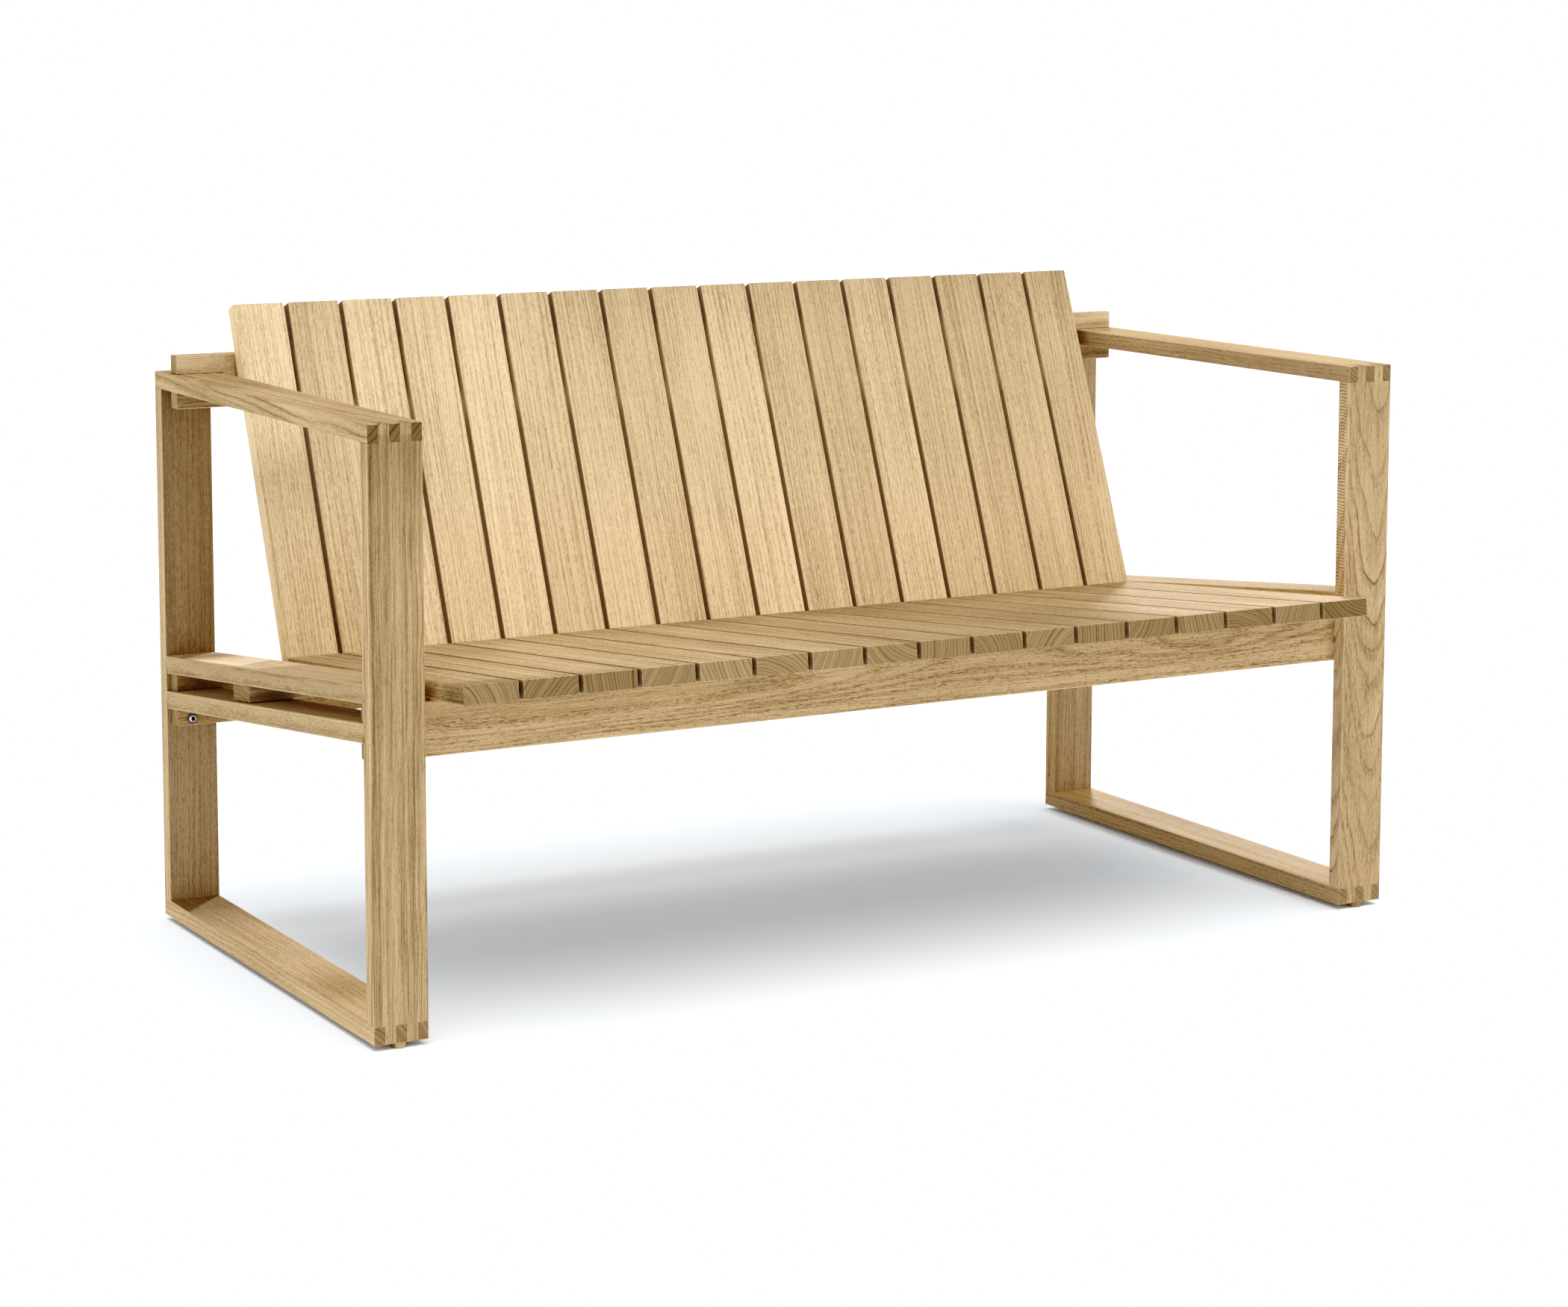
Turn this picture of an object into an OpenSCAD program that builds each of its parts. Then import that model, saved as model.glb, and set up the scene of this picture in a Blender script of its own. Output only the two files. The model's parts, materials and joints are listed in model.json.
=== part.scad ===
// Slatted garden bench: two flat side frames joined at their corners by comb
// joints, a gently falling seat of narrow boards, a leaning back of the same
// boards, two notched cross rails under the seat and one behind the back.
// Millimetres, +Z up. X runs along the seat, -Y is the sitting side.
// The origin is on the floor, in the middle of the bench.

/* [Overall] */
// width over the outer faces of the two side frames
overall_w = 1400; // [1320:1:1480]
// depth of a side frame, front face to rear face
frame_depth = 674; // [660:1:690]
// height of the arm's top face above the floor
arm_height = 698; // [680:1:720]

/* [Side frames] */
// width of the arm, post and runner boards
frame_board_w = 66; // [62:1:70]
// thickness of the arm, post and runner boards
frame_board_t = 21; // [19:0.5:23]
// number of fingers in a corner comb joint
comb_fingers = 5; // [3:2:7]
// radius on the long edges of every board
edge_r = 2; // [1:0.5:3]

/* [Seat] */
// number of seat boards, and of back boards above them
slat_count = 17; // [13:1:19]
// open gap between neighbouring boards
slat_gap = 6; // [4:0.5:9]
// clear space between the row of boards and each side frame
row_clearance = 16.5; // [12:0.5:22]
// thickness of a seat board
slat_t = 22; // [20:0.5:24]
// height of the seat boards' top above the floor, at the front posts' front face
seat_h = 408.3; // [400:0.1:416]
// slope of the seat boards, falling to the rear, in degrees
seat_slope = 5.6; // [5:0.1:6]
// how far the seat boards reach forward of the front posts
seat_overhang = 63.6; // [50:0.1:75]
// slack between a seat board's rear end and the back boards
seat_end_slack = 1; // [0.5:0.1:2]

/* [Side boards] */
// height of the upper side board's top, at the front posts' front face
side_h = 412.1; // [410:0.1:418]
// slope of the side boards, in degrees
side_slope = 6.2; // [6:0.1:6.4]
// thickness of a side board
side_t = 22; // [20:0.5:23]
// upright gap between the upper and the lower side board
side_gap = 22.3; // [22:0.1:24]

/* [Back] */
// lean of the back boards from upright, in degrees
back_tilt = 21.4; // [20:0.1:23]
// height of the back boards' top front edge above the floor
back_top = 782; // [770:1:800]
// distance of that edge behind the front posts' front face
back_top_y = 614.4; // [606:0.1:620]
// length of a back board
back_len = 497; // [480:1:500]
// thickness of a back board
back_t = 20.5; // [19:0.5:22]

/* [Cross rails] */
// thickness of the front, rear and upper back rails
rail_t = 21; // [19:0.5:22]
// height of the upper back rail's board
back_rail_h = 66.2; // [62:0.1:70]
// height of the upper back rail's top edge above the floor
back_rail_top = 721.2; // [716:0.1:726]
// height of the front rail's bottom edge above the floor
front_rail_bottom = 320.8; // [316:0.1:324]
// height of the rear rail's bottom edge above the floor
rear_rail_bottom = 254.3; // [248:0.1:258]
// how far each rail's end stops short of the side frame's outer face
rail_end_inset = 6.8; // [4:0.1:12]
// width of the flat bearer under the seat boards' rear ends
bearer_w = 52; // [45:1:60]
// thickness of the bearer
bearer_t = 21.5; // [20:0.5:22]

/* [Feet and fasteners] */
// diameter of a round foot
foot_d = 17; // [14:0.5:20]
// height of a foot under the runner
foot_h = 6.7; // [5:0.1:9]
// distance of a bolt's axis from the side frame's outer face
bolt_inset = 25.7; // [20:0.1:34]
// diameter of the bolts
bolt_d = 6; // [5:0.5:7]
// diameter of the washers
washer_d = 13.5; // [12:0.5:15]

/* [Hidden] */
$fn = 48;

teak       = [0.79, 0.66, 0.46];
teak_seat  = [0.84, 0.71, 0.51];
teak_back  = [0.90, 0.79, 0.60];
teak_rail  = [0.70, 0.57, 0.38];
steel      = [0.72, 0.73, 0.74];

half_w  = overall_w / 2;
inner_x = half_w - frame_board_w;
row_w   = 2 * inner_x - 2 * row_clearance;
slat_w  = (row_w - (slat_count - 1) * slat_gap) / slat_count;
pitch   = slat_w + slat_gap;

// the seat boards' front ends lean with their slope, and the frames' rear faces end the bench
front_reach = seat_overhang + slat_t * sin(seat_slope);
y_f = -(frame_depth - front_reach) / 2;      // front posts' front face
y_r = y_f + frame_depth;                     // rear posts' rear face
z_b = foot_h;                                // runner's underside
z_t = arm_height;                            // arm's top

// seat boards' own frame: origin on their top at y_f, Y along them to the rear, Z out of the seat
lean = back_tilt - seat_slope;
// the back boards' top front edge, in that frame
ty = back_top_y * cos(seat_slope) - (back_top - seat_h) * sin(seat_slope);
tz = back_top_y * sin(seat_slope) + (back_top - seat_h) * cos(seat_slope);
// distance along the seat to the back boards' front faces, at height h out of the seat
function back_at(h) = ty - (tz - h) * tan(lean);

// heights of the side boards' faces at distance y behind the front posts' front face
side_v = side_t / cos(side_slope);
function side_top(y)   = side_h - y * tan(side_slope);
function side_under(y) = side_top(y) - side_v;

// back rail: its top front edge meets the back boards' rear faces
rear_face_off = back_t / cos(back_tilt);
function back_rear(z) = y_f + back_top_y - (back_top - z) * tan(back_tilt) + rear_face_off;
br_y0 = back_rear(back_rail_top);
br_y1 = br_y0 + rail_t;
br_z0 = back_rail_top - back_rail_h;

rail_x = half_w - rail_end_inset;
// fixing heights: the middle of each rail's lower lip
front_bolt_z = front_rail_bottom + 10.2;
rear_bolt_z  = rear_rail_bottom + 9.2;

// a polygon's convex corners, rounded to radius r
function rounded(p, r, n = 3) = [
  for (i = [0 : len(p) - 1])
    let (a = p[(i + len(p) - 1) % len(p)], b = p[i], c = p[(i + 1) % len(p)],
         u = (a - b) / norm(a - b), v = (c - b) / norm(c - b),
         half = acos(u * v) / 2, m = (u + v) / norm(u + v),
         o = b + m * r / sin(half),
         s = b + u * r / tan(half) - o, e = b + v * r / tan(half) - o,
         a0 = atan2(s[1], s[0]), a1 = atan2(e[1], e[0]),
         da = a1 - a0 + (a1 - a0 > 180 ? -360 : a1 - a0 < -180 ? 360 : 0))
    for (k = [0 : n]) o + r * [cos(a0 + da * k / n), sin(a0 + da * k / n)]
];
function rect(x0, y0, x1, y1) = [[x0, y0], [x1, y0], [x1, y1], [x0, y1]];

// straight bars: profile in (Y, Z), (X, Z) or (X, Y)
module bar_x(p, x0, x1) translate([x0, 0, 0]) rotate([90, 0, 90]) linear_extrude(height = x1 - x0) polygon(p);
module bar_y(p, y0, y1) translate([0, y1, 0]) rotate([90, 0, 0]) linear_extrude(height = y1 - y0) polygon(p);
module bar_z(p, z0, z1) translate([0, 0, z0]) linear_extrude(height = z1 - z0) polygon(p);
module both() { children(); mirror([1, 0, 0]) children(); }
module right_hand() mirror([1, 0, 0]) children();
module seat_frame() translate([0, y_f, seat_h]) rotate([-seat_slope, 0, 0]) children();
module side_frame_of_boards() translate([0, y_f, side_h]) rotate([-side_slope, 0, 0]) children();
module back_frame() translate([0, y_f + back_top_y, back_top]) rotate([-back_tilt, 0, 0]) children();

// ---- side frames (left side, mirrored for the right) ----
finger = frame_board_w / comb_fingers;

module frame_envelope() {
  intersection() {
    bar_x(rounded(rect(y_f, z_b, y_r, z_t), edge_r), -half_w, -inner_x);
    bar_z(rounded(rect(-half_w, y_f, -inner_x, y_r), edge_r), z_b, z_t);
  }
}

// the fingers numbered from the outer face; which = 0 takes the even ones, 1 the odd ones
module fingers(which, y0, y1, z0, z1) {
  for (i = [which : 2 : comb_fingers - 1])
    translate([-half_w + i * finger - (i == 0 ? 1 : 0), y0, z0])
      cube([finger + (i == 0 ? 1 : 0) + (i == comb_fingers - 1 ? 1 : 0), y1 - y0, z1 - z0]);
}

module cross_board(z0, z1) {
  difference() {
    intersection() {
      bar_y(rounded(rect(-half_w, z0, -inner_x, z1), edge_r), y_f, y_r);
      frame_envelope();
    }
    fingers(1, y_f - 1, y_f + frame_board_t, z0 - 1, z1 + 1);
    fingers(1, y_r - frame_board_t, y_r + 1, z0 - 1, z1 + 1);
  }
}

module upright(y0, y1) {
  difference() {
    intersection() {
      bar_z(rounded(rect(-half_w, y0, -inner_x, y1), edge_r), z_b, z_t);
      frame_envelope();
    }
    fingers(0, y0 - 1, y1 + 1, z_t - frame_board_t, z_t + 1);
    fingers(0, y0 - 1, y1 + 1, z_b - 1, z_b + frame_board_t);
  }
}

module left_arm() color(teak) cross_board(z_t - frame_board_t, z_t);
module left_runner() color(teak) cross_board(z_b, z_b + frame_board_t);
module left_front_post() color(teak) difference() {
  upright(y_f, y_f + frame_board_t);
  bolt_hole(y_f + frame_board_t - 15, y_f + frame_board_t + 1, front_bolt_z, bolt_d);
}
module left_rear_post() color(teak) difference() {
  upright(y_r - frame_board_t, y_r);
  bolt_hole(y_r - frame_board_t - 1, y_r - frame_board_t + 15, rear_bolt_z, bolt_d);
}

// side boards lie between the posts, their ends cut upright
module side_board(drop) {
  intersection() {
    translate([0, 0, -drop]) side_frame_of_boards()
      bar_y(rounded(rect(-half_w, -side_t, -inner_x, 0), edge_r), 0, frame_depth * 1.1);
    translate([-half_w - 1, y_f + frame_board_t, 0])
      cube([frame_board_w + 2, frame_depth - 2 * frame_board_t, z_t]);
  }
}
module left_upper_side_board() color(teak) side_board(0);
module left_lower_side_board() color(teak) side_board(side_v + side_gap);

// ---- cross rails ----
// room that a side board takes in a rail, with a little play
module side_board_room(drop, play) {
  translate([0, 0, -drop]) side_frame_of_boards()
    translate([-half_w - 1, -5, -side_t - play])
      cube([frame_board_w + 2, frame_depth * 1.1, side_t + 2 * play]);
}
module rail_outline(z0, z1, y0, y1)
  bar_y(rounded(rect(-rail_x, z0, rail_x, z1), 3), y0, y1);

module bolt_hole(y0, y1, z, d)
  translate([-half_w + bolt_inset, y1, z]) rotate([90, 0, 0]) cylinder(d = d, h = y1 - y0);

module front_rail() {
  y0 = y_f + frame_board_t;
  y1 = y0 + rail_t;
  color(teak_rail) difference() {
    intersection() {
      bar_x(rounded([[y0, front_rail_bottom], [y1, front_rail_bottom],
                     [y1, side_under(y1 - y_f)], [y0, side_under(y0 - y_f)]], 1.5), -rail_x, rail_x);
      rail_outline(front_rail_bottom, seat_h, y0, y1);
    }
    // under the seat boards the top edge follows their undersides
    seat_frame() translate([-inner_x, 0, -slat_t]) cube([2 * inner_x, 60, 60]);
    both() side_board_room(side_v + side_gap, 0.3);
    both() bolt_hole(y0 - 1, y1 + 1, front_bolt_z, bolt_d + 0.6);
  }
}

module rear_rail() {
  y1 = y_r - frame_board_t;
  y0 = y1 - rail_t;
  color(teak_rail) difference() {
    intersection() {
      bar_x(rounded([[y0, rear_rail_bottom], [y1, rear_rail_bottom],
                     [y1, side_under(y1 - y_f)], [y0, side_under(y0 - y_f)]], 1.5), -rail_x, rail_x);
      rail_outline(rear_rail_bottom, seat_h, y0, y1);
    }
    both() side_board_room(side_v + side_gap, 0.3);
    both() bolt_hole(y0 - 1, y1 + 1, rear_bolt_z, bolt_d + 0.6);
  }
}

// flat board under the seat, between the upper and lower side boards
module seat_bearer() {
  y1 = back_at(-slat_t - bearer_t);
  y0 = y1 - bearer_w;
  color(teak_rail) difference() {
    seat_frame() intersection() {
      bar_x(rounded(rect(y0, -slat_t - bearer_t, y1, -slat_t), 1.2), -rail_x, rail_x);
      bar_z(rounded(rect(-rail_x, y0, rail_x, y1), 3), -slat_t - bearer_t, -slat_t);
    }
    both() side_board_room(0, 0);
    both() side_board_room(side_v + side_gap, 0);
  }
}

module upper_back_rail() {
  color(teak_rail) difference() {
    intersection() {
      bar_x(rounded(rect(br_y0, br_z0, br_y1, back_rail_top), 1), -rail_x, rail_x);
      bar_y(rounded(rect(-rail_x, br_z0, rail_x, back_rail_top), 3), br_y0, br_y1);
    }
    // open slots that pass over the arms
    both() translate([-half_w - 1, br_y0 - 1, z_t - frame_board_t])
      cube([frame_board_w + 2.4, rail_t + 2, frame_board_t + 2.2]);
  }
}

// tapered batten that takes up the angle between the rail and the leaning back boards
module back_wedge_batten() {
  color(teak_rail)
    bar_x([[back_rear(br_z0), br_z0], [br_y0, br_z0], [br_y0, back_rail_top]], -row_w / 2, row_w / 2);
}

// ---- seat and back boards ----
function slat_x(i) = -row_w / 2 + i * pitch;

module seat_slat(i) {
  x0 = slat_x(i);
  front = -seat_overhang / cos(seat_slope);
  slack = seat_end_slack / cos(lean);
  color(teak_seat) seat_frame() intersection() {
    bar_x(rounded([[front, -slat_t], [back_at(-slat_t) - slack, -slat_t],
                   [back_at(0) - slack, 0], [front, 0]], edge_r), x0, x0 + slat_w);
    bar_y(rounded(rect(x0, -slat_t, x0 + slat_w, 0), edge_r), front - 1, back_at(0) + 1);
  }
}

module back_slat(i) {
  x0 = slat_x(i);
  color(teak_back) back_frame() intersection() {
    bar_x(rounded(rect(0, -back_len, back_t, 0), edge_r), x0, x0 + slat_w);
    bar_z(rounded(rect(x0, 0, x0 + slat_w, back_t), edge_r), -back_len, 0);
  }
}

// ---- feet, bolts and washers ----
foot_x = half_w - frame_board_w / 2;

module feet() {
  color(teak_rail)
    for (x = [-foot_x, foot_x], y = [y_f + foot_d / 2 + 0.5, y_r - foot_d / 2 - 0.5])
      translate([x, y, 0]) rotate_extrude()
        polygon([[0, 0], [foot_d / 2 - 0.8, 0], [foot_d / 2, 0.8], [foot_d / 2, foot_h], [0, foot_h]]);
}

// button-head bolt along +Z, its head resting on z = 0 and its shank below
module button_bolt(shank) {
  difference() {
    union() {
      rotate_extrude() polygon([[0, 0], [5.2, 0], [5.2, 0.5], [4.9, 1.4], [4.2, 2.3], [3.1, 3.0], [2.6, 3.2], [0, 3.2]]);
      translate([0, 0, -shank]) cylinder(d = bolt_d, h = shank + 0.5);
    }
    translate([0, 0, 1.2]) cylinder(d = 4.6, h = 3, $fn = 6);
  }
}

washer_t = 1.2;
module on_rails() {
  both() {
    translate([-half_w + bolt_inset, y_f + frame_board_t + rail_t, front_bolt_z]) rotate([-90, 0, 0]) children();
    translate([-half_w + bolt_inset, y_r - frame_board_t - rail_t, rear_bolt_z]) rotate([90, 0, 0]) children();
  }
}
module rail_bolts() color(steel) on_rails() translate([0, 0, washer_t]) button_bolt(washer_t + rail_t + 14);
module bolt_washers() color(steel) on_rails() difference() {
  cylinder(d = washer_d, h = washer_t);
  translate([0, 0, -1]) cylinder(d = bolt_d + 0.4, h = washer_t + 2);
}

// ---- pieces ----
left_arm();
left_front_post();
left_rear_post();
left_runner();
left_upper_side_board();
left_lower_side_board();
right_hand() left_arm();  // right_arm
right_hand() left_front_post();  // right_front_post
right_hand() left_rear_post();  // right_rear_post
right_hand() left_runner();  // right_runner
right_hand() left_upper_side_board();  // right_upper_side_board
right_hand() left_lower_side_board();  // right_lower_side_board
front_rail();
rear_rail();
seat_bearer();
upper_back_rail();
back_wedge_batten();
seat_slat(0);  // seat_slat_01
seat_slat(1);  // seat_slat_02
seat_slat(2);  // seat_slat_03
seat_slat(3);  // seat_slat_04
seat_slat(4);  // seat_slat_05
seat_slat(5);  // seat_slat_06
seat_slat(6);  // seat_slat_07
seat_slat(7);  // seat_slat_08
seat_slat(8);  // seat_slat_09
seat_slat(9);  // seat_slat_10
seat_slat(10);  // seat_slat_11
seat_slat(11);  // seat_slat_12
seat_slat(12);  // seat_slat_13
seat_slat(13);  // seat_slat_14
seat_slat(14);  // seat_slat_15
seat_slat(15);  // seat_slat_16
seat_slat(16);  // seat_slat_17
back_slat(0);  // back_slat_01
back_slat(1);  // back_slat_02
back_slat(2);  // back_slat_03
back_slat(3);  // back_slat_04
back_slat(4);  // back_slat_05
back_slat(5);  // back_slat_06
back_slat(6);  // back_slat_07
back_slat(7);  // back_slat_08
back_slat(8);  // back_slat_09
back_slat(9);  // back_slat_10
back_slat(10);  // back_slat_11
back_slat(11);  // back_slat_12
back_slat(12);  // back_slat_13
back_slat(13);  // back_slat_14
back_slat(14);  // back_slat_15
back_slat(15);  // back_slat_16
back_slat(16);  // back_slat_17
feet();
rail_bolts();
bolt_washers();
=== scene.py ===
import json
import math

import bpy
import bmesh
from mathutils import Matrix, Vector

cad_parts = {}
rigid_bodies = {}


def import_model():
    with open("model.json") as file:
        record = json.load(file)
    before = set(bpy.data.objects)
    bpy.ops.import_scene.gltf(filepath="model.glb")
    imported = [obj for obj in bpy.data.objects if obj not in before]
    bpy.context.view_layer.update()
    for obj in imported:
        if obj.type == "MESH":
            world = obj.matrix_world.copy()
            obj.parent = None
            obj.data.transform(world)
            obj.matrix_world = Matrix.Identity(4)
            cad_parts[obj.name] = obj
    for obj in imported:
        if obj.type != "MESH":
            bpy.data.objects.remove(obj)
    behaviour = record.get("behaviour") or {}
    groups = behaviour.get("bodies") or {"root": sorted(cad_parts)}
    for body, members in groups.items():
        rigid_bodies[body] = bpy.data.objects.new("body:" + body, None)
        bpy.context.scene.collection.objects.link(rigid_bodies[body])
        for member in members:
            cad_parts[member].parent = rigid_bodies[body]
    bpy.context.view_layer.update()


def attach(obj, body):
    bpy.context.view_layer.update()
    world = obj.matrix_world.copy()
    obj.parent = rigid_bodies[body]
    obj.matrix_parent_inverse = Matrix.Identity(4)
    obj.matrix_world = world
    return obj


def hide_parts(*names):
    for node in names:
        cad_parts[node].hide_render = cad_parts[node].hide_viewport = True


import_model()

# ---------------------------------------------------------------- dimensions, millimetres
FRAME_D, FRAME_W, FRAME_T, FINGERS = 674.0, 66.0, 21.0, 5
HALF_W = 700.0
INNER = HALF_W - FRAME_W
FOOT_H, ARM_TOP = 6.7, 698.0
SEAT_T, SEAT_H, SEAT_S = 22.0, 408.3, math.radians(5.6)
OVERHANG, END_SLACK = 63.6, 1.0
SIDE_T, SIDE_H, SIDE_S, SIDE_GAP = 22.0, 412.1, math.radians(6.2), 22.3
BACK_S, BACK_TOP, BACK_TOP_Y, BACK_L, BACK_T = math.radians(21.4), 782.0, 614.4, 497.0, 20.5
RAIL_T, RAIL_X = 21.0, 693.2
N_SLAT, GAP, ROW = 17, 6.0, 617.5
SLAT_W = (2 * ROW - (N_SLAT - 1) * GAP) / N_SLAT
PITCH = SLAT_W + GAP
Y_F = -(FRAME_D - OVERHANG - SEAT_T * math.sin(SEAT_S)) / 2
Y_R = Y_F + FRAME_D
LEAN = BACK_S - SEAT_S
TY = BACK_TOP_Y * math.cos(SEAT_S) - (BACK_TOP - SEAT_H) * math.sin(SEAT_S)
TZ = BACK_TOP_Y * math.sin(SEAT_S) + (BACK_TOP - SEAT_H) * math.cos(SEAT_S)
SIDE_V = SIDE_T / math.cos(SIDE_S)


def back_at(h):
    return TY - (TZ - h) * math.tan(LEAN)


def side_under(y):
    return SIDE_H - y * math.tan(SIDE_S) - SIDE_V


def back_rear(z):
    return Y_F + BACK_TOP_Y - (BACK_TOP - z) * math.tan(BACK_S) + BACK_T / math.cos(BACK_S)


# ---------------------------------------------------------------- wood material
class Graph:
    """Small helper that adds nodes to one material's tree."""

    def __init__(self, tree):
        self.t = tree

    def new(self, kind, **values):
        n = self.t.nodes.new(kind)
        for k, v in values.items():
            setattr(n, k, v)
        return n

    def put(self, socket, value):
        if isinstance(value, bpy.types.NodeSocket):
            self.t.links.new(value, socket)
        else:
            socket.default_value = value

    def math(self, op, a, b=None, c=None, clamp=False):
        n = self.new("ShaderNodeMath", operation=op, use_clamp=clamp)
        self.put(n.inputs[0], a)
        if b is not None:
            self.put(n.inputs[1], b)
        if c is not None:
            self.put(n.inputs[2], c)
        return n.outputs[0]

    def vmath(self, op, a, b=None):
        n = self.new("ShaderNodeVectorMath", operation=op)
        self.put(n.inputs[0], a)
        if b is not None:
            self.put(n.inputs[1], b)
        return n.outputs[1] if op in ("LENGTH", "DOT_PRODUCT") else n.outputs[0]

    def noise(self, vector, scale, detail=2.0, rough=0.5, distortion=0.0, w=None):
        n = self.new("ShaderNodeTexNoise", noise_dimensions="3D" if w is None else "4D")
        self.put(n.inputs["Vector"], vector)
        if w is not None:
            self.put(n.inputs["W"], w)
        n.inputs["Scale"].default_value = scale
        n.inputs["Detail"].default_value = detail
        n.inputs["Roughness"].default_value = rough
        n.inputs["Distortion"].default_value = distortion
        return n.outputs["Fac"]

    def noise1(self, w, scale, detail=0.0):
        n = self.new("ShaderNodeTexNoise", noise_dimensions="1D")
        self.put(n.inputs["W"], w)
        n.inputs["Scale"].default_value = scale
        n.inputs["Detail"].default_value = detail
        return n.outputs["Fac"]

    def step(self, x, lo, hi, a=0.0, b=1.0):
        n = self.new("ShaderNodeMapRange", interpolation_type="SMOOTHSTEP")
        self.put(n.inputs[0], x)
        n.inputs[1].default_value = lo
        n.inputs[2].default_value = hi
        n.inputs[3].default_value = a
        n.inputs[4].default_value = b
        return n.outputs[0]

    def line(self, x, lo, hi, a=0.0, b=1.0):
        n = self.new("ShaderNodeMapRange", interpolation_type="LINEAR", clamp=True)
        self.put(n.inputs[0], x)
        n.inputs[1].default_value = lo
        n.inputs[2].default_value = hi
        n.inputs[3].default_value = a
        n.inputs[4].default_value = b
        return n.outputs[0]

    def mix(self, fac, a, b, blend="MIX"):
        n = self.new("ShaderNodeMix", data_type="RGBA", blend_type=blend)
        n.clamp_factor = True
        self.put(n.inputs[0], fac)
        self.put(n.inputs[6], a)
        self.put(n.inputs[7], b)
        return n.outputs[2]

    def curve(self, x, stops):
        n = self.new("ShaderNodeValToRGB")
        self.put(n.inputs[0], x)
        r = n.color_ramp
        r.interpolation = "EASE"
        while len(r.elements) > 1:
            r.elements.remove(r.elements[-1])
        r.elements[0].position, r.elements[0].color = stops[0][0], (stops[0][1],) * 3 + (1,)
        for p, v in stops[1:]:
            r.elements.new(p).color = (v, v, v, 1)
        return n.outputs[0]

    def stops(self, x, pairs):
        """Piecewise straight curve through (x, value) pairs, which may pass 1."""
        level = pairs[0][1]
        for (x0, f0), (x1, f1) in zip(pairs, pairs[1:]):
            level = self.math("ADD", self.line(x, x0, x1, 0.0, f1 - f0), level)
        return level

    def grey(self, value):
        n = self.new("ShaderNodeCombineXYZ")
        for socket in n.inputs:
            self.put(socket, value)
        return n.outputs[0]

    def scaled(self, vector, s):
        return self.vmath("MULTIPLY", vector, s)


# every tone of the teak keeps nearly the same hue: green and blue follow red
def teak(r):
    return (r, 0.645 * r, 0.325 * r)


STRAW, HONEY, TAN, BROWN, PORE = teak(0.66), teak(0.50), teak(0.36), teak(0.19), teak(0.10)
# the last of these is the painted shade on faces in the gaps between boards
END_PALE, END_DARK, GAP_SHADE = teak(0.27), teak(0.085), (0.17, 0.125, 0.082)


def rgba(c, k=1.0):
    return (*[v * k for v in c], 1)


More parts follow.
